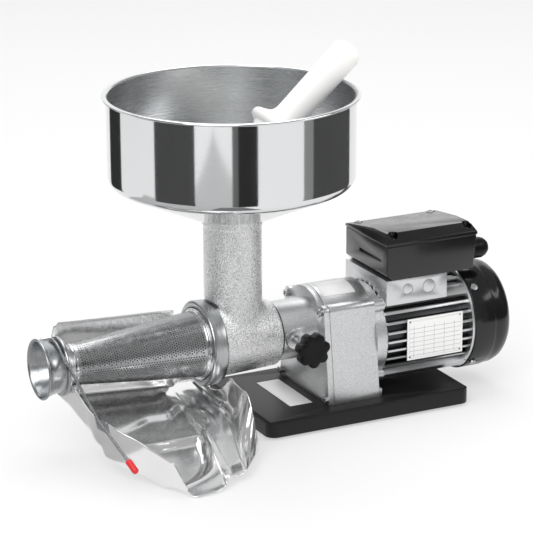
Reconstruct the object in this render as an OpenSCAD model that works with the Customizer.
// Electric tomato press: a bowl feeds a body tube, an auger turns in it and
// pushes the fruit through a tapered perforated screen over a drip tray.
// A two-stage gearbox and a small finned motor drive the auger.
// X runs along the machine toward the motor, -Y is the front, Z is up.

/* [Base plate] */
// Length of the base plate
base_l = 220.6; // [200:1:260]
// Width of the base plate
base_w = 140; // [125:1:180]
// Height of the base plate
base_t = 15.5; // [13:0.5:24]
// Radius of the plate's upright corners
base_corner_r = 10; // [6:0.5:20]
// Radius of the plate's top edge
base_edge_r = 3; // [1.5:0.5:4]
// Thickness of the plate's top wall
base_top_wall = 5; // [3:0.5:8]
// Thickness of the plate's side walls
base_side_wall = 5; // [4:0.5:8]
// Height of the rubber feet below the plate
foot_h = 2.5; // [2:0.5:10]
// Radius of the rubber feet
foot_r = 9; // [7:0.5:14]
// Distance of the feet from the plate's edges
foot_inset = 18; // [15:1:26]

/* [Gearbox] */
// Gap from the plate's left end to the gearbox cover
box_setback = 72.9; // [60:1:85]
// Height of the output axis above the base plate
axis_h = 65.5; // [63:0.5:80]
// Outer radius of the arch around the output gear
arch_r = 40.5; // [39:0.5:46]
// Half width of the gearbox at its foot
box_foot_half = 52.6; // [50:0.5:60]
// Wall of the gearbox housing
box_wall = 4; // [3:0.5:5]
// Thickness of the gearbox cover
cover_t = 6; // [5:0.5:8]
// Length of the gearbox housing behind the cover
housing_l = 49; // [48:0.5:60]
// Thickness of the housing's rear wall
rear_wall = 6; // [5:0.5:8]
// Radius of the screw bosses on the shoulders
boss_r = 6.5; // [5.5:0.5:7.5]
// Radius of the cover screws' heads
screw_head_r = 3.6; // [3:0.1:4]
// Radius of the cover screws' shanks
screw_r = 2; // [1.5:0.1:2.4]

/* [Gear train] */
// Module of the first stage
mod1 = 1; // [1:0.05:1.1]
// Module of the second stage
mod2 = 1.5; // [1.4:0.05:1.55]
// Teeth of both pinions
pinion_teeth = 12; // [11:1:14]
// Teeth of both wheels
wheel_teeth = 40; // [36:1:40]
// Pressure angle of the teeth
pressure_angle = 25; // [20:1:25]
// Play between the flanks
backlash = 0.2; // [0.1:0.02:0.3]
// Face width of the output gear
output_face = 14; // [10:0.5:16]
// Face width of the intermediate wheel
idler_face = 12; // [8:0.5:12]
// Radius of the output shaft
output_shaft_r = 8.5; // [7:0.5:10]
// Radius of the intermediate shaft
idler_shaft_r = 5; // [4:0.5:6]

/* [Press body] */
// Length of the clamping tube in front of the gearbox
spigot_l = 35.6; // [32:1:44]
// Outer radius of the clamping tube
spigot_r = 29; // [28:0.5:34]
// Radius of the body's tail inside the clamping tube
tail_r = 25.5; // [22:0.5:26]
// Gap filled by the tail's gasket
tail_gap = 1.8; // [1:0.2:3]
// Distance from the hopper's axis back to the body's end face
body_back = 39.2; // [38:0.5:50]
// Distance from the hopper's axis forward to the body's mouth
body_front = 34; // [33:0.5:44]
// Bore of the body, as a radius
body_bore_r = 27.5; // [24:0.5:28]
// Outer radius of the body behind the ring nut
body_r = 34.7; // [33.5:0.5:36]
// Outer radius of the body at its end face
body_end_r = 30.6; // [29.5:0.5:32]
// Outer radius of the body's threaded collar
thread_r = 37.2; // [36.5:0.2:39]
// Outer radius of the feed neck
neck_r = 27; // [26:0.5:30]
// Bore of the feed neck, as a radius
neck_bore_r = 21; // [18:0.5:21.5]
// Outer radius of the neck's collar
collar_r = 28; // [27.5:0.5:33]
// Height of the neck's mouth above the output axis
neck_h = 126; // [100:1:150]
// Height of the collar
collar_h = 10; // [8:0.5:16]

/* [Ring nut and screen] */
// Outer radius of the ring nut
ring_r = 41.6; // [41:0.5:46]
// Length of the ring nut
ring_l = 16; // [14:0.5:16.5]
// Thickness of the ring nut's lip
ring_lip = 2.4; // [1.5:0.1:3]
// Length of the screen cone
screen_l = 134; // [100:1:150]
// Radius of the screen at the ring nut
screen_big_r = 32; // [30:0.5:33]
// Radius of the screen at the outlet
screen_small_r = 19.3; // [17:0.5:22]
// Thickness of the screen
screen_t = 1.2; // [0.8:0.1:1.6]
// Turns of the auger's flight inside the screen
auger_turns = 4.5; // [3:0.5:6]
// Thickness of the auger's flight
flight_t = 5; // [4:0.5:7]

/* [Outlet] */
// Length of the outlet nozzle
nozzle_l = 28.6; // [24:0.5:36]
// Radius of the nozzle's flared mouth
mouth_r = 28.9; // [27:0.5:32]
// Radius of the nozzle at its groove
groove_r = 24.4; // [23:0.2:25]
// Radius of the nozzle's rear flange
flange_r = 28.4; // [27.5:0.5:31]

/* [Hopper and pestle] */
// Outer radius of the hopper's wall
hopper_r = 116.5; // [90:0.5:130]
// Height of the hopper's wall
hopper_wall_h = 82; // [60:1:110]
// Height of the hopper's conical floor
hopper_cone_h = 32; // [24:1:50]
// Radius of the flat ring that sits on the collar
hopper_seat_r = 45; // [40:1:55]
// Sheet thickness of the hopper
hopper_t = 1.2; // [0.8:0.1:2]
// Radius of the rolled rim
rim_r = 2.6; // [2:0.1:3.5]
// Length of the hopper's spout
spout_l = 44; // [30:1:60]
// Radius of the pestle's handle
pestle_r = 14; // [11:0.5:16]
// Radius of the pestle's flange
pestle_flange_r = 29.5; // [22:0.5:34]
// Length of the handle above the flange
pestle_handle_l = 96; // [85:1:130]
// Lean of the pestle from upright
pestle_lean = 48.5; // [44:0.5:54]
// Direction in which the pestle leans
pestle_turn = 4; // [-20:1:20]

/* [Drip tray] */
// Height of the tray's rear edge above the output axis
tray_back_h = 28; // [20:1:32]
// Distance of the tray's rear wall from the axis
tray_back_y = 40; // [38:0.5:44]
// Thickness of the tray's sheet
tray_t = 1; // [0.8:0.1:1.4]
// Reach of the tray in front of the axis
tray_reach = 155; // [130:1:170]
// Drop of the tray's floor below the axis, under the screen
tray_drop = 48; // [46:0.5:52]
// Radius of the bail's wire
wire_r = 1.5; // [1.2:0.1:1.8]
// Radius of the cap on the bail's end
cap_r = 3.2; // [2.6:0.1:4]
// Length of the cap on the bail's end
cap_l = 15; // [10:0.5:22]

/* [Clamp knob] */
// Radius over the knob's lobes
knob_r = 17.6; // [15:0.2:20]
// Thickness of the knob
knob_t = 15; // [12:0.5:20]
// Lobes of the knob
knob_lobes = 7; // [5:1:9]
// Radius of the clamp stud
stud_r = 4; // [3:0.5:5]
// Distance of the knob's back from the axis
knob_stand = 57; // [52:0.5:62]

/* [Motor] */
// Radius over the fins
fin_tip_r = 50; // [48.5:0.5:50.5]
// Outer radius of the motor's shell under the fins
shell_r = 44.5; // [43.5:0.5:46]
// Bore of the motor's shell, as a radius
shell_bore_r = 41; // [39:0.5:42]
// Length of the finned shell
shell_l = 93; // [88:1:120]
// Thickness of the front shield
shield_l = 11.2; // [10:0.2:16]
// Pitch of the cooling fins
fin_pitch = 9; // [7:0.5:12]
// Thickness of the cooling fins
fin_t = 2.2; // [1.6:0.2:3]
// Radius of the motor's shaft at its bearings
motor_shaft_r = 6; // [4:0.5:7]
// Outer radius of the motor's bearings
bearing_r = 16; // [13:0.5:17]
// Width of the motor's bearings
bearing_w = 9; // [7:0.5:10]
// Bore of the stator, as a radius
stator_bore_r = 25.6; // [22:0.2:28]
// Length of the stator's stack
stack_l = 50; // [40:1:60]
// Outer radius of the fan cover
fan_cover_r = 54; // [54:0.5:60]
// Length of the fan cover
fan_cover_l = 44; // [40:1:56]
// Blades of the cooling fan
fan_blades = 9; // [5:1:12]

/* [Terminal box] */
// Length of the terminal box
tbox_l = 97; // [94:1:120]
// Width of the terminal box
tbox_w = 84; // [70:1:90]
// Height of the terminal box under its lid
tbox_h = 34; // [32:0.5:44]
// Wall of the terminal box
tbox_wall = 2.5; // [2:0.1:3]
// Height of the lid
lid_h = 16; // [14:0.5:22]
// Height of the box's underside above the motor's axis
tbox_lift = 60; // [58:0.5:66]
// Length of the pedestal under the box
pedestal_l = 67; // [60:1:75]
// Bore of the cable gland, as a radius
gland_bore_r = 4; // [3:0.5:5]

/* [Clearances] */
// Gap of a fixed fit
fit = 0.15; // [0.1:0.01:0.2]
// Gap of a moving fit
run = 0.3; // [0.25:0.01:0.4]
// Gap between thin sheets and what they rest on
seat = 0.3; // [0.2:0.01:0.4]

/* [Hidden] */
$fn = 72;

base_top = foot_h + base_t;
axis_z = base_top + axis_h;

// gear train
pinion_rp1 = mod1 * pinion_teeth / 2;
wheel_rp1 = mod1 * wheel_teeth / 2;
pinion_rp2 = mod2 * pinion_teeth / 2;
wheel_rp2 = mod2 * wheel_teeth / 2;
idler_z = axis_z - pinion_rp2 - wheel_rp2;
motor_z = idler_z + pinion_rp1 + wheel_rp1;

// stations along the gearbox and the motor
cover_x = box_setback - base_l / 2;
gasket_t = 0.4;
housing_x = cover_x + cover_t + gasket_t;
housing_end = housing_x + housing_l;
rear_wall_x = housing_end - rear_wall;
shell_x = housing_end + shield_l;
shell_end = shell_x + shell_l;
rear_disc_t = 3;
fan_cover_x = shell_end + rear_disc_t + seat;
fan_cover_end = fan_cover_x + fan_cover_l;

// gears sit one after the other inside the housing
gear_gap = 3;
output_gear_x = housing_x + 2.8;
output_gear_end = output_gear_x + output_face;
idler_gear_x = output_gear_end + 6;
idler_gear_end = idler_gear_x + idler_face;
idler_pinion_x = output_gear_x - 0.8;

// stations along the press
spigot_x = cover_x - spigot_l;
tail_l = 16;
tail_end = spigot_x + tail_l;
body_end = spigot_x - tail_gap;
hopper_x = body_end - body_back;
mouth_x = hopper_x - body_front;
ring_x = mouth_x - ring_lip - 2.6;
ring_end = ring_x + ring_l;
ring_hole_r = screen_big_r + 3.3;
thread_end = ring_end + 0.4;
flange_t = 2;
flange_x = mouth_x - seat - flange_t;
screen_x = flange_x - screen_l;
nozzle_end = screen_x - seat;
nozzle_x = nozzle_end - nozzle_l;
groove_x = nozzle_x + 14.6;
neck_top = axis_z + neck_h;
spout_r = neck_bore_r - 1.2;

// press shaft
shank_r = tail_r / 2 - 0.75;
bulkhead_x = body_end - 6.2;
hex_r = output_shaft_r * 0.86;

// bearing and seal seats in the clamping tube
seal_x = tail_end + 0.6;
seal_w = 6.4;
seal_r = output_shaft_r + 5.5;
out_bearing_r = output_shaft_r + 9;
out_bearing_x = seal_x + seal_w + 0.4;
out_bearing_w = (housing_x - out_bearing_x) / 2 - 0.1;

// clamp stud
stud_x = (spigot_x + tail_end) / 2 + 2;
stud_boss_r = stud_r + 5.5;
stud_boss_y = spigot_r + 4;

// hopper
hopper_z = neck_top;
hopper_wall_z = hopper_z + hopper_cone_h;
rim_z = hopper_wall_z + hopper_wall_h;
rim_c = hopper_r + rim_r - hopper_t / 2;

// terminal box
tbox_z = motor_z + tbox_lift;
pedestal_x = shell_x + 1.4;
tbox_x = pedestal_x + 3;
tbox_end = tbox_x + tbox_l;
lid_z = tbox_z + tbox_h + 0.6;
post_r = 4;

// turns a profile of [x, radius] points about an axis along X
module revolve_x(pts, z = axis_z, fn = 96)
    translate([0, 0, z])
    rotate([0, 90, 0])
    rotate_extrude($fn = fn)
    polygon([for (p = pts) [p[1], p[0]]]);

// extrudes a profile drawn in Y and Z along X
module along_x(x, l)
    translate([x, 0, 0])
    rotate([90, 0, 90])
    linear_extrude(l)
    children();

// extrudes a profile drawn in X and Z across Y, centred on the machine
module across_y(w)
    translate([0, w / 2, 0])
    rotate([90, 0, 0])
    linear_extrude(w)
    children();

module cyl_x(x, l, r, y = 0, z = axis_z)
    translate([x, y, z])
    rotate([0, 90, 0])
    cylinder(r = r, h = l);

module tube_x(x, l, r, bore, z = axis_z)
    difference() {
        cyl_x(x, l, r, 0, z);
        cyl_x(x - 1, l + 2, bore, 0, z);
    }

module rounded_rect(l, w, r) {
    square([l - 2 * r, w], center = true);
    square([l, w - 2 * r], center = true);
    for (x = [-1, 1], y = [-1, 1])
        translate([x * (l / 2 - r), y * (w / 2 - r)])
        circle(r);
}

// outline of a plate seen from its side, with rounded top corners
module soft_side(l, h, e) {
    translate([-l / 2, 0])
        square([l, h - e]);
    translate([-l / 2 + e, 0])
        square([l - 2 * e, h]);
    for (s = [-1, 1])
        translate([s * (l / 2 - e), h - e])
        circle(e);
}

// plate with rounded upright corners and a rounded top edge
module soft_plate(l, w, h, r, e) {
    intersection() {
        linear_extrude(h)
            rounded_rect(l, w, r);
        across_y(w + 2)
            soft_side(l, h, e);
        along_x(-l / 2 - 1, l + 2)
            soft_side(w, h, e);
    }
}

// round bar between two points
module bar(a, b, r) {
    d = b - a;
    l = norm(d);
    translate(a)
        rotate([0, acos(d[2] / l), atan2(d[1], d[0])])
        cylinder(r = r, h = l, $fn = 24);
}

// lays a turned piece along a direction, with its own zero at a point
module aim(a, d)
    translate(a)
    rotate([0, acos(d[2] / norm(d)), atan2(d[1], d[0])])
    children();

// involute gear outline
function inv_angle(a) = tan(a) * 180 / PI - a;
function flank(r, rb, rp, n) = 90 / n - backlash / (2 * rp) * 180 / PI
    + inv_angle(pressure_angle) - inv_angle(acos(min(1, rb / r)));
function polar(r, a) = [r * cos(a), r * sin(a)];
function tooth(rp, m, n, c) = let (
        rb = rp * cos(pressure_angle),
        r0 = rp - 1.25 * m,
        r1 = max(rb, r0 + 0.01),
        r2 = rp + m,
        rr = [for (i = [0:4]) r1 + (r2 - r1) * i / 4])
    concat(
        [polar(r0, c - flank(r1, rb, rp, n))],
        [for (i = [0:4]) polar(rr[i], c - flank(rr[i], rb, rp, n))],
        [for (i = [4:-1:0]) polar(rr[i], c + flank(rr[i], rb, rp, n))],
        [polar(r0, c + flank(r1, rb, rp, n))]);
function gear_points(rp, m, n, phase) =
    [for (k = [0:n - 1]) each tooth(rp, m, n, phase + k * 360 / n)];

// the first tooth points straight up; a wheel turned half a pitch offers a gap below
module gear(x, l, rp, m, n, z, phase)
    translate([0, 0, z])
    along_x(x, l)
    polygon(gear_points(rp, m, n, phase));

// gearbox outline: an arch about the output axis on tapered flanks, with screw bosses
boss_y = arch_r - 5.5;
boss_z = axis_z + 24;
foot_boss_y = box_foot_half - 4;
foot_boss_z = base_top + 5.5;
shoulder_half = boss_y + boss_r - 0.2;
screw_spots = [[-boss_y, boss_z], [boss_y, boss_z], [-foot_boss_y, foot_boss_z], [foot_boss_y, foot_boss_z]];

module gearbox_outline() {
    translate([0, axis_z])
        circle(arch_r);
    for (s = [-1, 1])
        translate([s * boss_y, boss_z])
        circle(boss_r);
    polygon([[-box_foot_half, base_top], [box_foot_half, base_top],
        [shoulder_half, boss_z - 1], [-shoulder_half, boss_z - 1]]);
}

module gearbox_cavity() {
    translate([0, axis_z])
        circle(arch_r - box_wall);
    polygon([[-(box_foot_half - 3 * box_wall), base_top + box_wall],
        [box_foot_half - 3 * box_wall, base_top + box_wall],
        [box_foot_half - 1.3 * box_wall, base_top + 3.4 * box_wall],
        [shoulder_half - 1.3 * box_wall, axis_z + 10],
        [-(shoulder_half - 1.3 * box_wall), axis_z + 10],
        [-(box_foot_half - 1.3 * box_wall), base_top + 3.4 * box_wall]]);
}

base_screw_x = [housing_x + 20, housing_end - 9];
base_screw_y = box_foot_half - 7;

// base
foot_spots = concat([[0, 0]], [for (x = [-1, 1], y = [-1, 1])
    [x * (base_l / 2 - foot_inset), y * (base_w / 2 - foot_inset)]]);

module base_plate() color("#2a2a2c") difference() {
    translate([0, 0, foot_h])
        soft_plate(base_l, base_w, base_t, base_corner_r, base_edge_r);
    difference() {
        translate([0, 0, foot_h - 1])
            linear_extrude(base_t - base_top_wall + 1)
            rounded_rect(base_l - 2 * base_side_wall, base_w - 2 * base_side_wall,
                base_corner_r - base_side_wall / 2);
        for (p = foot_spots)
            translate([p[0], p[1], foot_h - 2])
            cylinder(r = foot_r + 1, h = base_t);
        for (y = [-1, 0, 1])
            translate([0, y * base_w / 4, foot_h + base_t / 2])
            cube([base_l, 3, base_t], center = true);
    }
    for (p = foot_spots)
        translate([p[0], p[1], foot_h - 1])
        cylinder(r = foot_r / 3 + fit, h = 8);
    for (x = base_screw_x, y = [-1, 1])
        translate([x, y * base_screw_y, foot_h - 1])
        cylinder(r = 3 + fit, h = base_t + 2);
    for (x = base_screw_x, y = [-1, 1])
        translate([x, y * base_screw_y, foot_h - 1])
        cylinder(r = 5.6, h = base_t - base_top_wall + 1);
}

module rubber_feet() color("#161616")
    for (p = foot_spots)
        translate([p[0], p[1], 0]) {
            cylinder(r = foot_r, h = foot_h);
            cylinder(r = foot_r / 3, h = foot_h + 6);
        }

module base_screws() color("#8c8f92")
    for (x = base_screw_x, y = [-1, 1])
        translate([x, y * base_screw_y, base_top - base_top_wall]) {
            translate([0, 0, -4])
                cylinder(r = 5, h = 4);
            cylinder(r = 3, h = base_top_wall + 5.5);
        }

label_x = cover_x - 22;
module base_label() color("#b9bbbd")
    translate([label_x, 0, base_top + 0.2])
    cube([24, 73, 0.4], center = true);

// gearbox
module gearbox_housing() color("#c3c5c6") difference() {
    union() {
        along_x(housing_x, housing_l)
            gearbox_outline();
        for (s = [-1, 1])
            translate([housing_end, s * (box_foot_half - 5), base_top])
            translate([0, -4, 0])
            cube([3, 8, 8]);
    }
    difference() {
        along_x(housing_x - 1, housing_l - rear_wall + 1)
            gearbox_cavity();
        cyl_x(rear_wall_x - gear_gap, gear_gap + 1, idler_shaft_r + 4, 0, idler_z);
    }
    cyl_x(rear_wall_x - gear_gap - 1, gear_gap + 4, idler_shaft_r + run, 0, idler_z);
    cyl_x(rear_wall_x - 1, rear_wall + 2, nose_r + fit, 0, motor_z);
    for (p = screw_spots)
        cyl_x(housing_x - 1, 17, screw_r + fit, p[0], p[1]);
    for (x = base_screw_x, y = [-1, 1])
        translate([x, y * base_screw_y, base_top - 1])
        cylinder(r = 3 + fit, h = 7);
}

module gearbox_cover() color("#c8cacb") difference() {
    union() {
        along_x(cover_x, cover_t)
            gearbox_outline();
        cyl_x(spigot_x, spigot_l + 1, spigot_r);
        translate([stud_x, -stud_boss_y, axis_z])
            rotate([-90, 0, 0])
            cylinder(r = stud_boss_r, h = stud_boss_y - tail_r - 1);
    }
    cyl_x(spigot_x - 1, tail_l + 1.6, tail_r + fit);
    cyl_x(spigot_x, spigot_l, output_shaft_r + run);
    cyl_x(seal_x - 0.4, seal_w + 0.6, seal_r + fit);
    cyl_x(out_bearing_x, housing_x - out_bearing_x + 1, out_bearing_r + fit);
    translate([stud_x, -stud_boss_y - 1, axis_z])
        rotate([-90, 0, 0])
        cylinder(r = stud_r + fit, h = stud_boss_y);
    cyl_x(housing_x - 3.5, 4, idler_shaft_r + run, 0, idler_z);
    for (p = screw_spots)
        cyl_x(cover_x - 1, cover_t + 2, screw_r + fit, p[0], p[1]);
}

module gearbox_gasket() color("#3a3d3a") difference() {
    along_x(cover_x + cover_t, gasket_t)
        gearbox_outline();
    along_x(cover_x + cover_t - 1, gasket_t + 2)
        gearbox_cavity();
    for (p = screw_spots)
        cyl_x(cover_x + cover_t - 1, 3, screw_r + fit, p[0], p[1]);
}

module cover_screws() color("#9a9da0")
    for (p = screw_spots)
        difference() {
            union() {
                cyl_x(cover_x - 3.6, 3.6, screw_head_r, p[0], p[1]);
                cyl_x(cover_x, cover_t + 14, screw_r, p[0], p[1]);
            }
            translate([cover_x - 4, p[0], p[1]])
                rotate([0, 90, 0])
                cylinder(r = screw_head_r / 2, h = 2.4, $fn = 6);
        }

label_r = arch_r + 0.35;
module gearbox_label() color("#eeeeec") intersection() {
    difference() {
        cyl_x(housing_x + 4, 34, label_r);
        cyl_x(housing_x + 3, 36, arch_r + 0.05);
    }
    translate([0, 0, axis_z])
        along_x(housing_x, 50)
        polygon([[0, 0], polar(2 * arch_r, 84), polar(2 * arch_r, 122)]);
}

// output shaft line
module output_shaft() color("#a4a7aa") difference() {
    union() {
        cyl_x(tail_end - 1, output_gear_end + 3.5 - tail_end, output_shaft_r);
        translate([tail_end - 13, 0, axis_z])
            rotate([0, 90, 0])
            cylinder(r = hex_r, h = 13, $fn = 6);
    }
    translate([output_gear_x - 1, -2 - fit, axis_z + output_shaft_r - 2.5])
        cube([output_face + 2, 4 + 2 * fit, 5]);
}

module output_key() color("#8b8e91")
    translate([output_gear_x, -2, axis_z + output_shaft_r - 2.4])
    cube([output_face, 4, 4.4]);

module output_gear() color("#8f9295") difference() {
    gear(output_gear_x, output_face, wheel_rp2, mod2, wheel_teeth, axis_z, 90 + 180 / wheel_teeth);
    cyl_x(output_gear_x - 1, output_face + 2, output_shaft_r + fit);
    translate([output_gear_x - 1, -2 - fit, axis_z])
        cube([output_face + 2, 4 + 2 * fit, output_shaft_r + 2.2]);
}

module output_bearings() color("#b5b8bb")
    for (i = [0, 1])
        translate([out_bearing_x + i * (out_bearing_w + 0.1), 0, 0])
        difference() {
            tube_x(0, out_bearing_w, out_bearing_r, output_shaft_r + run);
            tube_x(-0.4, 1.2, out_bearing_r - 2.4, output_shaft_r + 2.6);
        }

module output_seal() color("#1d1d1f")
    tube_x(seal_x, seal_w - 0.2, seal_r, output_shaft_r + run);

// intermediate shaft with its cut pinion
module idler_shaft() color("#9fa2a5") {
    cyl_x(housing_x - 3, rear_wall_x + 2 - housing_x + 3, idler_shaft_r, 0, idler_z);
    gear(idler_pinion_x, output_face + 1.6, pinion_rp2, mod2, pinion_teeth, idler_z, 90);
}

module idler_gear() color("#8f9295") difference() {
    gear(idler_gear_x, idler_face, wheel_rp1, mod1, wheel_teeth, idler_z, 90);
    cyl_x(idler_gear_x - 1, idler_face + 2, idler_shaft_r + fit, 0, idler_z);
    difference() {
        cyl_x(idler_gear_end - 3, 4, wheel_rp1 - 4, 0, idler_z);
        cyl_x(idler_gear_end - 4, 6, idler_shaft_r + 4, 0, idler_z);
    }
}

pinion_bore = pinion_rp1 - 1.25 * mod1 - 1.6;
module motor_pinion() color("#9fa2a5") difference() {
    gear(idler_gear_x - 0.5, idler_face + 1, pinion_rp1, mod1, pinion_teeth, motor_z, 90 + 180 / pinion_teeth);
    cyl_x(idler_gear_x - 2, idler_face + 4, pinion_bore + fit, 0, motor_z);
}

// press body
module press_body() color("#bfc1c2") difference() {
    union() {
        revolve_x([[mouth_x, 0], [mouth_x, thread_r], [thread_end, thread_r], [thread_end, body_r],
            [body_end - 3, body_end_r + 0.9], [body_end, body_end_r], [body_end, tail_r],
            [tail_end - 1, tail_r], [tail_end, tail_r - 1], [tail_end, 0]]);
        difference() {
            translate([hopper_x, 0, axis_z])
                cylinder(r = neck_r, h = neck_h - 1);
            cyl_x(ring_x, thread_end - ring_x, ring_r + 0.8);
        }
        translate([hopper_x, 0, 0])
            rotate_extrude($fn = 96)
            polygon([[0, neck_top - collar_h - 2], [neck_r, neck_top - collar_h - 2],
                [collar_r, neck_top - collar_h], [collar_r, neck_top - 3],
                [collar_r + 1.6, neck_top - 1.2], [collar_r + 1.6, neck_top], [0, neck_top]]);
    }
    cyl_x(mouth_x - 1, bulkhead_x - mouth_x + 1, body_bore_r);
    cyl_x(bulkhead_x - 1, tail_end - bulkhead_x + 2, shank_r + run);
    translate([hopper_x, 0, axis_z])
        cylinder(r = neck_bore_r, h = neck_h + 1);
    translate([stud_x, -tail_r - 1, axis_z])
        rotate([-90, 0, 0])
        cylinder(r = stud_r + run, h = 4);
}

module tail_gasket() color("#19191a")
    tube_x(body_end, tail_gap, body_end_r - 2, tail_r + fit);

// auger: a flight that tapers inside the screen and stays even inside the body
screen_in_r = screen_big_r - screen_t;
auger_r0 = min(body_bore_r, screen_in_r) - 1;
auger_r1 = screen_small_r - screen_t - 1.1;
auger_front = screen_x + 4;
auger_mid = mouth_x;
auger_back = bulkhead_x - 0.8;
auger_taper_l = auger_mid - auger_front;
auger_taper_r = screen_in_r - 1.2;
auger_pitch = auger_taper_l / auger_turns;
auger_body_l = auger_back - auger_mid;

module flight_profile(r, core, t) {
    circle(core, $fn = 14);
    polygon([[0, -t / 2], [sqrt(r * r - t * t / 4), -t / 2], [r, 0], [sqrt(r * r - t * t / 4), t / 2], [0, t / 2]]);
}

module auger() color("#e9e7e0") {
    translate([auger_mid, 0, axis_z])
        rotate([0, -90, 0])
        linear_extrude(auger_taper_l, twist = 360 * auger_turns, scale = auger_r1 / auger_taper_r,
            slices = round(18 * auger_turns), segments = 18)
        flight_profile(auger_taper_r, auger_taper_r * 0.52, flight_t);
    translate([auger_mid, 0, axis_z])
        rotate([0, 90, 0])
        mirror([1, 0, 0])
        linear_extrude(auger_body_l, twist = 360 * auger_body_l / auger_pitch / 0.85, slices = 40, segments = 18)
        flight_profile(auger_r0, auger_taper_r * 0.52, flight_t);
}

module auger_shaft() color("#a9acaf") difference() {
    union() {
        cyl_x(auger_back + 0.1, tail_end - auger_back - 1.5, shank_r);
    }
    translate([tail_end - 13.6, 0, axis_z])
        rotate([0, 90, 0])
        cylinder(r = hex_r + fit, h = 14, $fn = 6);
}

module ring_nut() color("#a9adb2")
    revolve_x([[ring_x, ring_hole_r], [ring_x, ring_r - 1.6], [ring_x + 0.6, ring_r - 0.5],
        [ring_x + 2, ring_r], [ring_end - 1.5, ring_r - 0.8], [ring_end, ring_r - 2],
        [ring_end, thread_r + run], [ring_x + ring_lip, thread_r + run], [ring_x + ring_lip, ring_hole_r]]);

module screen_cone() color("#b4b6b8")
    revolve_x([[screen_x, screen_small_r - screen_t], [screen_x, screen_small_r + 0.9],
        [screen_x + 2.2, screen_small_r + 0.9], [screen_x + 2.2, screen_small_r + 0.2],
        [flange_x - 4.2, screen_big_r], [flange_x - 3.8, ring_hole_r - 0.7],
        [flange_x, ring_hole_r - 0.7], [flange_x, thread_r], [flange_x + flange_t, thread_r],
        [flange_x + flange_t, screen_big_r - screen_t]]);

module outlet_nozzle() color("#c0c2c4") {
    revolve_x([[nozzle_x + 1, mouth_r - 2.6], [nozzle_x, mouth_r - 1.8], [nozzle_x, mouth_r - 0.6],
        [nozzle_x + 0.8, mouth_r], [nozzle_x + 2.4, mouth_r], [nozzle_x + 3.4, mouth_r - 1.2],
        [groove_x - 3.6, groove_r + 0.4], [groove_x - 2.6, groove_r], [groove_x + 2.6, groove_r],
        [groove_x + 3.2, flange_r - 0.8], [groove_x + 4, flange_r], [groove_x + 6.6, flange_r],
        [groove_x + 7.4, flange_r - 0.8], [groove_x + 8.2, screen_small_r + 1.6],
        [nozzle_end, screen_small_r + 0.9], [nozzle_end, screen_small_r - screen_t],
        [groove_x + 6, screen_small_r - screen_t], [groove_x, groove_r - 3.4]]);
    for (a = [205, 335])
        translate([0, 0, axis_z])
        rotate([a - 270, 0, 0])
        translate([groove_x + 7.2, 0, -(screen_small_r + 4.6)])
        translate([0, -2.5, 0])
        cube([5, 5, 4.2]);
}

// hopper and pestle
module hopper_bowl() color("#cfd1d3")
    translate([hopper_x, 0, 0])
    rotate_extrude($fn = 120)
    union() {
        polygon([[spout_r - hopper_t, hopper_z - spout_l], [spout_r, hopper_z - spout_l],
            [spout_r, hopper_z], [hopper_seat_r, hopper_z],
            [hopper_r - 8, hopper_wall_z - 3], [hopper_r - 3.2, hopper_wall_z + 1.2],
            [hopper_r - 0.8, hopper_wall_z + 6], [hopper_r, hopper_wall_z + 14], [hopper_r, rim_z],
            [hopper_r - hopper_t, rim_z], [hopper_r - hopper_t, hopper_wall_z + 14],
            [hopper_r - 0.8 - hopper_t, hopper_wall_z + 6.3], [hopper_r - 4.2, hopper_wall_z + 2],
            [hopper_r - 8.6, hopper_wall_z - 1.8],
            [hopper_seat_r, hopper_z + hopper_t], [spout_r - hopper_t, hopper_z + hopper_t]]);
        translate([rim_c, rim_z])
            circle(rim_r, $fn = 32);
    }

// the pestle leans on the rim: its axis passes one handle radius above the rolled edge
pestle_tip_r = 21;
lean_off = pestle_r + rim_r + seat;
lean_r = rim_c - lean_off * cos(pestle_lean);
lean_z = rim_z + lean_off * sin(pestle_lean);
lean_to_dome = 16;
// room between the flange and the hopper's floor, measured along the pestle
pestle_end_l = pestle_handle_l + 55;

module pestle() color("#f2f2f0")
    translate([hopper_x, 0, 0])
    rotate([0, 0, pestle_turn])
    translate([lean_r, 0, lean_z])
    rotate([0, pestle_lean, 0])
    translate([0, 0, lean_to_dome]) {
        rotate_extrude($fn = 64)
            polygon(concat([for (a = [90:-7.5:0]) polar(pestle_r, a)], [[pestle_r - 0.6, -pestle_handle_l + 22]],
                [for (a = [0:15:75]) [pestle_r - 0.6 + 10 * (1 - cos(a)), -pestle_handle_l + 16 - 10 * sin(a)]],
                [[pestle_flange_r - 4, -pestle_handle_l + 5],
                [pestle_flange_r - 1.2, -pestle_handle_l + 3.4], [pestle_flange_r, -pestle_handle_l],
                [pestle_flange_r - 1.2, -pestle_handle_l - 3.4],
                [pestle_flange_r - 4, -pestle_handle_l - 5],
                [pestle_tip_r, -pestle_handle_l - 6],
                [pestle_tip_r - 1, -pestle_end_l + 3], [pestle_tip_r - 4, -pestle_end_l],
                [0, -pestle_end_l]]));
    }

// clamp
module clamp_stud() color("#3b3c3e")
    translate([stud_x, -knob_stand - 6, axis_z])
    rotate([-90, 0, 0])
    cylinder(r = stud_r, h = knob_stand + 6 - tail_r + 2.4);

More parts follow.
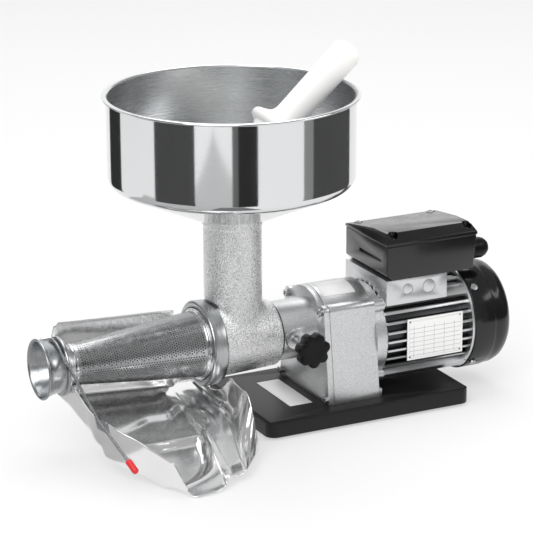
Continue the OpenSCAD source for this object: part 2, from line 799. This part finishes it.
knob_lobe_r = PI * knob_r / knob_lobes / 2.1;
module clamp_knob() color("#1b1b1c")
    translate([stud_x, -knob_stand, axis_z])
    rotate([90, 0, 0])
    difference() {
        union() {
            linear_extrude(knob_t) {
                circle(knob_r - 2.6);
                for (i = [0:knob_lobes - 1])
                    rotate(i * 360 / knob_lobes + 12)
                    translate([knob_r - knob_lobe_r, 0])
                    circle(knob_lobe_r, $fn = 32);
            }
            translate([0, 0, knob_t])
                cylinder(r1 = knob_r - 5, r2 = knob_r - 8, h = 1.6);
            translate([0, 0, -6])
                cylinder(r = stud_r + 4.5, h = 7);
        }
        translate([0, 0, -7])
            cylinder(r = stud_r + fit, h = 13.2);
    }

// drip tray: one pressed sheet, drawn as rows of points from the rear edge to the lip
tray_left = screen_x - 8;
tray_right = ring_end - 5;
tray_w = tray_right - tray_left;
rib_u = 0.7;
// share of the way from the crease to the lip
tray_rows = [0, 0.18, 0.36, 0.45, 0.56, 0.75, 1];
tray_crease_y = tray_back_y - 12;
function lip_y(u) = -tray_reach + lookup(u, [[0, 0], [0.11, -8], [0.56, 6], [0.66, 11], [0.82, 28], [1, 52]]);
function row_y(u, v) = tray_crease_y + (lip_y(u) - tray_crease_y) * v;
function left_edge(v) = tray_left + lookup(v, [[0, 0], [0.18, 1], [0.36, 5], [0.56, 12], [0.75, 28], [1, 55]]);
function tray_x(u, v) = left_edge(v) + (tray_right + 2 * v - left_edge(v)) * u;
function fall(y) = lookup(-y / tray_reach, [[-0.18, 2], [0.03, 0], [0.26, -5.5], [0.52, -13.5], [0.77, -23], [1.05, -32]]);
function floor_z(u, v) = axis_z - tray_drop + 10 * (1 - u) * (1 - v) + fall(row_y(u, v)) + 3.4 * v;
function rib_rise(u, v) = (u > rib_u - 0.02 && u < rib_u + 0.02) ? 7 - 4 * v : 0;
function tray_floor(u, v) = [tray_x(u, v), row_y(u, v), floor_z(u, v) + rib_rise(u, v)];
function left_rise(v) = lookup(v, [[0, 12], [0.18, 7.5], [0.36, 13], [0.56, 22], [0.75, 25], [1, 22]]);
function right_rise(v) = lookup(v, [[0, 3], [0.18, 4], [0.36, 6], [0.45, 15], [0.56, 42], [0.75, 38], [1, 3]]);
function left_rim(v) = tray_floor(0, v) + [-4 - 3 * v, -2, left_rise(v)];
function right_rim(v) = tray_floor(1, v) + [0.6, 0, right_rise(v)];
tray_us = [0, 0.36, rib_u - 0.045, rib_u, rib_u + 0.045, 0.87, 1];
function tray_row(v) = concat([left_rim(v)], [for (u = tray_us) tray_floor(u, v)], [right_rim(v)]);
back_end = ring_x - 6;
function back_x(u) = tray_left - 2 + (back_end - tray_left + 2) * min(1, u / (rib_u + 0.045));
function back_top(u) = u <= rib_u + 0.05
    ? [back_x(u), tray_back_y, axis_z + tray_back_h - 8 * u]
    : tray_floor(u, 0) + [0, 5, 5];
tray_back_row = concat([back_top(0) + [-2, 0, 0.5]], [for (u = tray_us) back_top(u)], [back_top(1) + [0.6, 0, 2]]);
tray_grid = concat([tray_back_row], [for (v = tray_rows) tray_row(v)]);

// sheet of even thickness through a grid of points
function clamp_i(i, n) = max(0, min(n - 1, i));
function sheet_normal(g, i, j) = let (
        m = len(g),
        n = len(g[0]),
        a = g[clamp_i(i + 1, m)][j] - g[clamp_i(i - 1, m)][j],
        b = g[i][clamp_i(j + 1, n)] - g[i][clamp_i(j - 1, n)],
        c = cross(a, b))
    c / norm(c);
module sheet(g, t) {
    m = len(g);
    n = len(g[0]);
    top = [for (i = [0:m - 1], j = [0:n - 1]) g[i][j] + sheet_normal(g, i, j) * t / 2];
    low = [for (i = [0:m - 1], j = [0:n - 1]) g[i][j] - sheet_normal(g, i, j) * t / 2];
    k = m * n;
    faces = concat(
        [for (i = [0:m - 2], j = [0:n - 2]) each [
            [i * n + j, i * n + j + 1, (i + 1) * n + j + 1],
            [i * n + j, (i + 1) * n + j + 1, (i + 1) * n + j],
            [k + i * n + j, k + (i + 1) * n + j + 1, k + i * n + j + 1],
            [k + i * n + j, k + (i + 1) * n + j, k + (i + 1) * n + j + 1]]],
        [for (j = [0:n - 2]) each [
            [j, k + j, j + 1], [j + 1, k + j, k + j + 1],
            [(m - 1) * n + j, (m - 1) * n + j + 1, k + (m - 1) * n + j],
            [(m - 1) * n + j + 1, k + (m - 1) * n + j + 1, k + (m - 1) * n + j]]],
        [for (i = [0:m - 2]) each [
            [i * n, (i + 1) * n, k + i * n], [(i + 1) * n, k + (i + 1) * n, k + i * n],
            [i * n + n - 1, k + i * n + n - 1, (i + 1) * n + n - 1],
            [(i + 1) * n + n - 1, k + i * n + n - 1, k + (i + 1) * n + n - 1]]]);
    polyhedron(points = concat(top, low), faces = faces, convexity = 8);
}

module drip_tray() color("#c6c8ca")
    sheet(tray_grid, tray_t);

// wire bail over the nozzle's groove
bail_x = groove_x;
bail_arc_r = groove_r + run + wire_r;
bail_pivot = [tray_back_y + tray_t / 2 + 0.2 + wire_r + 2.2, axis_z + 11];
clip_point = left_rim(0.6);
bail_front_y = -29;
bail_slope = 33.4;
arc_a0 = 90 + bail_slope;
pivot_d = norm([bail_pivot[0], bail_pivot[1] - axis_z]);
pivot_a = atan2(bail_pivot[1] - axis_z, bail_pivot[0]);
arc_a1 = pivot_a + acos(bail_arc_r / pivot_d);
function arc_point(a) = [bail_x, bail_arc_r * cos(a), axis_z + bail_arc_r * sin(a)];
bail_front = arc_point(arc_a0);
function front_leg(s, dx) = bail_front + [dx, -s * cos(bail_slope), -s * sin(bail_slope)];
bail_knee = front_leg(86, 8);
bail_tip = front_leg(130, 16);
cap_dir = (bail_tip - bail_knee) / norm(bail_tip - bail_knee);
bail_rear = [bail_x, bail_pivot[0], bail_pivot[1]];

module wire_bail() color("#b7b9bb") {
    translate([bail_x, 0, axis_z])
        rotate([90, 0, 90])
        rotate([0, 0, arc_a1])
        rotate_extrude(angle = arc_a0 - arc_a1, $fn = 96)
        translate([bail_arc_r, 0])
        circle(wire_r, $fn = 24);
    bar(bail_rear, arc_point(arc_a1), wire_r);
    bar(bail_front, bail_knee, wire_r);
    bar(bail_knee, bail_tip, wire_r);
    for (p = [bail_knee, bail_rear, bail_front, arc_point(arc_a1)])
        translate(p)
        sphere(wire_r + 0.01, $fn = 24);
    cyl_x(bail_x, 20, wire_r, bail_pivot[0], bail_pivot[1]);
}

module bail_cap() color("#c8262c")
    aim(bail_tip, cap_dir)
    rotate_extrude($fn = 32)
    polygon([[wire_r + 0.05, 3 - cap_l], [cap_r, 3 - cap_l], [cap_r, 2.4], [cap_r * 0.8, 4.4], [cap_r * 0.4, 5.2],
        [0, 5.4], [0, 0.2], [wire_r + 0.05, 0.2]]);

module bail_tube() color("#b7b9bb") difference() {
    cyl_x(bail_x + 5, 12, wire_r + 2.2, bail_pivot[0], bail_pivot[1]);
    cyl_x(bail_x + 4, 14, wire_r + run, bail_pivot[0], bail_pivot[1]);
}

// plate on the tray's left rim with a peg that the bail rests on
clip_s = (-clip_point[1] + bail_front[1]) / cos(bail_slope);
clip_wire = bail_front + (bail_knee - bail_front) * clip_s / 86;
clip_run = left_rim(0.66) - left_rim(0.54);
clip_off = tray_t * 0.6 + seat;
peg_r = 1.4;
module tray_clip() color("#bcbec0") {
    translate([clip_point[0], clip_point[1], clip_point[2] - 7])
        rotate([0, 0, atan2(clip_run[1], clip_run[0])])
        translate([-8, -clip_off - 1.2, 0])
        cube([16, 1.2, clip_wire[2] + 8 - clip_point[2]]);
    cyl_x(clip_wire[0] - 3, clip_point[0] - clip_off - 0.6 - clip_wire[0] + 3, peg_r, clip_point[1],
        clip_wire[2] - (wire_r + run + peg_r) / cos(bail_slope));
}

// motor
nose_r = 15;
module front_shield() color("#c0c2c4") difference() {
    union() {
        cyl_x(housing_end, shield_l, 48, 0, motor_z);
        cyl_x(rear_wall_x + 0.2, rear_wall, nose_r, 0, motor_z);
        for (a = [45:90:315])
            translate([0, 0, motor_z])
            along_x(housing_end, shield_l)
            translate(polar(50, a))
            circle(6);
    }
    cyl_x(rear_wall_x - 1, housing_end - rear_wall_x + 20, motor_shaft_r + 1, 0, motor_z);
    cyl_x(shell_x - bearing_w - 0.4, bearing_w + 2, bearing_r + fit, 0, motor_z);
}

module shell_profile() {
    circle(shell_r);
    intersection() {
        circle(fin_tip_r);
        for (i = [-3:3]) {
            translate([0, i * fin_pitch])
                square([2 * fin_tip_r, fin_t], center = true);
            translate([i * fin_pitch, 0])
                square([fin_t, 2 * fin_tip_r], center = true);
        }
    }
    for (a = [45:90:315])
        rotate(a)
        translate([shell_r - 2, -4])
        square([56 - shell_r, 8]);
}

knockouts = [[23.5, 5.7], [47, 7.1]];
module motor_shell() color("#b9bbbd") difference() {
    union() {
        translate([0, 0, motor_z])
            along_x(shell_x, shell_l)
            shell_profile();
        translate([pedestal_x, -tbox_w / 2, motor_z + 35])
            cube([pedestal_l, tbox_w, tbox_lift - 35]);
    }
    cyl_x(shell_x - 1, shell_l + 2, shell_bore_r, 0, motor_z);
    translate([pedestal_x + pedestal_l / 2, 0, motor_z])
        cylinder(r = 14, h = tbox_lift + 1);
    for (k = knockouts)
        translate([pedestal_x + k[0], -tbox_w / 2 - 1, motor_z + tbox_lift - 10.5])
        rotate([-90, 0, 0])
        difference() {
            cylinder(r = k[1], h = 1.8);
            cylinder(r = k[1] - 0.9, h = 3);
        }
}

stack_x = shell_x + (shell_l - stack_l) / 2;
module stator_core() color("#6f7275") difference() {
    cyl_x(stack_x, stack_l, shell_bore_r - fit, 0, motor_z);
    cyl_x(stack_x - 1, stack_l + 2, stator_bore_r, 0, motor_z);
}

module windings() color("#a4592c")
    for (s = [-1, 1])
        tube_x(stack_x + stack_l / 2 + s * (stack_l / 2 + 6.2) - 6, 12, shell_bore_r - 3, stator_bore_r + 2, motor_z);

module rotor_core() color("#8a8d90") difference() {
    cyl_x(stack_x - 2, stack_l + 4, stator_bore_r - 0.6, 0, motor_z);
    cyl_x(stack_x - 3, stack_l + 6, motor_shaft_r + 3 + fit, 0, motor_z);
}

fan_x = shell_end + 17;
module motor_shaft() color("#a4a7aa") {
    cyl_x(idler_gear_x - 0.5, idler_face + 2, pinion_bore, 0, motor_z);
    cyl_x(idler_gear_end + 1, fan_x + 12 - idler_gear_end - 1, motor_shaft_r, 0, motor_z);
    cyl_x(shell_x + run, shell_l - 2 * run, motor_shaft_r + 3, 0, motor_z);
}

module motor_bearings() color("#b5b8bb") {
    tube_x(shell_x - bearing_w - 0.2, bearing_w, bearing_r, motor_shaft_r + run, motor_z);
    tube_x(shell_end + 0.2, bearing_w, bearing_r, motor_shaft_r + run, motor_z);
}

rim_in_r = fan_cover_r - 2 - seat - 3;
module rear_shield() color("#a7aaac") difference() {
    union() {
        cyl_x(shell_end, rear_disc_t, fan_cover_r - 1.4, 0, motor_z);
        cyl_x(shell_end, bearing_w + 3, bearing_r + 4, 0, motor_z);
        tube_x(shell_end + 1, 14, fan_cover_r - 2 - seat, rim_in_r, motor_z);
    }
    cyl_x(shell_end - 1, bearing_w + 1.2, bearing_r + fit, 0, motor_z);
    cyl_x(shell_end - 1, 30, motor_shaft_r + 1, 0, motor_z);
    for (a = [45:90:315])
        translate([fan_cover_x + 5, 0, motor_z])
        rotate([a, 0, 0])
        cylinder(r = 1.8 + fit, h = fan_cover_r);
}

module cooling_fan() color("#2b2c2e") difference() {
    union() {
        cyl_x(fan_x, 12, motor_shaft_r + 4, 0, motor_z);
        cyl_x(fan_x, 2, fan_cover_r - 12, 0, motor_z);
        for (i = [0:fan_blades - 1])
            translate([fan_x, 0, motor_z])
            rotate([i * 360 / fan_blades, 0, 0])
            translate([0, -0.9, motor_shaft_r + 2])
            cube([13, 1.8, fan_cover_r - 14.5 - motor_shaft_r]);
    }
    cyl_x(fan_x - 1, 20, motor_shaft_r + fit, 0, motor_z);
}

module fan_cover() color("#141415") difference() {
    revolve_x([[fan_cover_x, fan_cover_r], [fan_cover_x + 22, fan_cover_r], [fan_cover_x + 23, fan_cover_r - 0.8],
        [fan_cover_end - 12, fan_cover_r - 1.2], [fan_cover_end - 6, fan_cover_r - 3.4],
        [fan_cover_end - 2, fan_cover_r - 7], [fan_cover_end, fan_cover_r - 11.5],
        [fan_cover_end, 0], [fan_cover_end - 2, 0], [fan_cover_end - 2, fan_cover_r - 12.5],
        [fan_cover_end - 3.8, fan_cover_r - 8.6], [fan_cover_end - 7.4, fan_cover_r - 5.4],
        [fan_cover_end - 12.4, fan_cover_r - 3.2], [fan_cover_x + 22, fan_cover_r - 2.6],
        [fan_cover_x + 21, fan_cover_r - 2], [fan_cover_x, fan_cover_r - 2]], motor_z);
    for (k = [0:3], i = [0:15])
        translate([fan_cover_end - 3, 0, motor_z])
        rotate([i * 22.5, 0, 0])
        translate([0, 0, 8 + 8 * k])
        rotate([0, 90, 0])
        cylinder(r = 1 + 0.35 * k, h = 5, $fn = 16);
    for (a = [45:90:315])
        translate([fan_cover_x + 5, 0, motor_z])
        rotate([a, 0, 0])
        cylinder(r = 1.8 + fit, h = fan_cover_r + 2);
}

module fan_cover_screws() color("#8b8e91")
    for (a = [45:90:315])
        translate([fan_cover_x + 5, 0, motor_z])
        rotate([a, 0, 0]) {
            translate([0, 0, fan_cover_r - 5])
                cylinder(r = 1.8, h = 6);
            translate([0, 0, fan_cover_r + 0.1])
                cylinder(r = 3.5, h = 2);
        }

module rating_plate() color("#ecebe8") difference() {
    translate([shell_x + 20, -fin_tip_r - 0.9, motor_z - 21])
        cube([62, 0.8, 42]);
    for (x = [3, 59], z = [-18, 18])
        translate([shell_x + 20 + x, -fin_tip_r - 2, motor_z + z])
        rotate([-90, 0, 0])
        cylinder(r = 1, h = 3, $fn = 24);
}

// terminal box
module box_side() polygon([[tbox_x + 6, tbox_z], [tbox_end - 3.4, tbox_z], [tbox_end, tbox_z + tbox_h],
    [tbox_x, tbox_z + tbox_h], [tbox_x, tbox_z + 6]]);
post_spots = [for (x = [tbox_x + 7, tbox_end - 8], y = [-1, 1]) [x, y * (tbox_w / 2 - 7)]];
switch_c = [tbox_x + tbox_l / 2, tbox_z + tbox_h / 2];
switch_w = 27;
switch_h = 19;
rocker_w = switch_w - 8.4;
pin_r = 1.2;
pin_l = switch_w - 5.4;
pivot = [tbox_w / 2 + 0.4, switch_c[1]];
gland_y = -20;
gland_z = tbox_z + 13;

module terminal_box() color("#202123") difference() {
    across_y(tbox_w)
        box_side();
    difference() {
        translate([tbox_x + tbox_wall + 3.6, -(tbox_w / 2 - tbox_wall), tbox_z + tbox_wall])
            cube([tbox_l - 2 * tbox_wall - 7, tbox_w - 2 * tbox_wall, tbox_h]);
        for (p = post_spots)
            translate([p[0], p[1], tbox_z])
            cylinder(r = post_r, h = tbox_h + 1);
    }
    for (p = post_spots)
        translate([p[0], p[1], tbox_z + 16])
        cylinder(r = 1.6 + fit, h = tbox_h);
    translate([pedestal_x + pedestal_l / 2, 0, tbox_z - 1])
        cylinder(r = 14, h = tbox_wall + 2);
    cyl_x(tbox_end - 12, 20, 8 + fit, gland_y, gland_z);
    translate([switch_c[0], tbox_w / 2, switch_c[1]])
        cube([switch_w - 4 + 2 * fit, 20, switch_h - 4 + 2 * fit], center = true);
}

module box_gasket() color("#3c3d3f") difference() {
    translate([tbox_x + 0.4, -tbox_w / 2 + 0.4, tbox_z + tbox_h])
        cube([tbox_l - 0.8, tbox_w - 0.8, 0.6]);
    translate([tbox_x + tbox_wall + 3.6, -(tbox_w / 2 - tbox_wall), tbox_z + tbox_h - 1])
        cube([tbox_l - 2 * tbox_wall - 7, tbox_w - 2 * tbox_wall, 3]);
    for (p = post_spots)
        translate([p[0], p[1], tbox_z + tbox_h - 1])
        cylinder(r = post_r + 0.2, h = 3);
}

module box_lid() color("#262729") difference() {
    intersection() {
        translate([tbox_x - 0.6, 0, 0])
            along_x(0, tbox_l + 1.2)
            polygon([[-tbox_w / 2 - 0.6, lid_z], [tbox_w / 2 + 0.6, lid_z], [tbox_w / 2 + 0.2, lid_z + lid_h - 6],
                [tbox_w / 2 - 7, lid_z + lid_h - 0.5], [0, lid_z + lid_h], [-tbox_w / 2 + 7, lid_z + lid_h - 0.5],
                [-tbox_w / 2 - 0.2, lid_z + lid_h - 6]]);
        across_y(tbox_w + 4)
            polygon([[tbox_x - 0.6, lid_z], [tbox_end + 0.6, lid_z], [tbox_end + 0.2, lid_z + lid_h - 6],
                [tbox_end - 7, lid_z + lid_h], [tbox_x + 7, lid_z + lid_h], [tbox_x - 0.2, lid_z + lid_h - 6]]);
    }
    difference() {
        translate([tbox_x + 9, -tbox_w / 2 + 9, lid_z - 1])
            cube([tbox_l - 18, tbox_w - 18, lid_h - 1.6]);
        for (p = post_spots)
            translate([p[0], p[1], lid_z - 2])
            cylinder(r = post_r + 1.5, h = lid_h + 2);
    }
    for (p = post_spots)
        translate([p[0], p[1], lid_z - 1]) {
            cylinder(r = 1.6 + fit, h = lid_h + 2);
            translate([0, 0, lid_h - 5])
                cylinder(r = 3.4, h = 8);
        }
}

module lid_screws() color("#7d8083")
    for (p = post_spots)
        translate([p[0], p[1], 0]) {
            translate([0, 0, tbox_z + 18])
                cylinder(r = 1.6, h = lid_z + lid_h - 6 - tbox_z - 17);
            translate([0, 0, lid_z + lid_h - 6])
                cylinder(r = 3, h = 2.6);
        }

module capacitor() color("#c9c6bd")
    cyl_x(tbox_x + 22, 52, 14, -22, tbox_z + tbox_wall + 14 + 0.1);

module terminal_block() color("#d8d4c8") difference() {
    translate([pedestal_x + pedestal_l / 2 + 16, 2, tbox_z + tbox_wall])
        cube([16, 24, 10]);
    for (i = [0:2])
        translate([pedestal_x + pedestal_l / 2 + 24, 6.5 + i * 7.5, tbox_z + tbox_wall + 4])
        cylinder(r = 2, h = 10, $fn = 24);
}

gland_x = tbox_end - 2.4;
module cable_gland() color("#17181a") difference() {
    union() {
        translate([tbox_end + 0.1, gland_y, gland_z])
            rotate([0, 90, 0])
            cylinder(r = 11.6, h = 5, $fn = 6);
        cyl_x(gland_x - 6, 14, 8, gland_y, gland_z);
        translate([0, gland_y, 0])
            revolve_x([[tbox_end + 5, 0], [tbox_end + 5, 10.4], [tbox_end + 16, 10.4], [tbox_end + 20, 9],
                [tbox_end + 23, 6.5], [tbox_end + 23, 0]], gland_z, 48);
    }
    cyl_x(gland_x - 8, 60, gland_bore_r, gland_y, gland_z);
}

module switch_frame() color("#151516") difference() {
    union() {
        translate([switch_c[0], tbox_w / 2 + 1, switch_c[1]])
            cube([switch_w, 2, switch_h], center = true);
        translate([switch_c[0], tbox_w / 2 - 5, switch_c[1]])
            cube([switch_w - 4, 10.4, switch_h - 4], center = true);
    }
    translate([switch_c[0], tbox_w / 2, switch_c[1]])
        cube([switch_w - 7, 10, switch_h - 6], center = true);
    cyl_x(switch_c[0] - pin_l / 2 - 0.3, pin_l + 0.6, pin_r + run, pivot[0], pivot[1]);
}

module switch_rocker() color("#8f1d20") {
    translate([switch_c[0] - rocker_w / 2, pivot[0], pivot[1]])
        rotate([90, 0, 90])
        linear_extrude(rocker_w)
        rotate(-7)
        polygon([[-3.4, -5.4], [1.8, -5.4], [1.4, 0], [1.8, 5.4], [-3.4, 5.4]]);
    cyl_x(switch_c[0] - pin_l / 2, pin_l, pin_r, pivot[0], pivot[1]);
}

base_plate();
rubber_feet();
base_screws();
base_label();
gearbox_housing();
gearbox_cover();
gearbox_gasket();
cover_screws();
gearbox_label();
output_shaft();
output_gear();
output_key();
output_bearings();
output_seal();
idler_shaft();
idler_gear();
motor_pinion();
press_body();
tail_gasket();
auger();
auger_shaft();
ring_nut();
screen_cone();
outlet_nozzle();
hopper_bowl();
pestle();
drip_tray();
tray_clip();
bail_tube();
wire_bail();
bail_cap();
clamp_stud();
clamp_knob();
front_shield();
motor_shell();
stator_core();
windings();
motor_shaft();
rotor_core();
motor_bearings();
rear_shield();
cooling_fan();
fan_cover();
fan_cover_screws();
rating_plate();
terminal_box();
box_gasket();
box_lid();
lid_screws();
capacitor();
terminal_block();
cable_gland();
switch_frame();
switch_rocker();
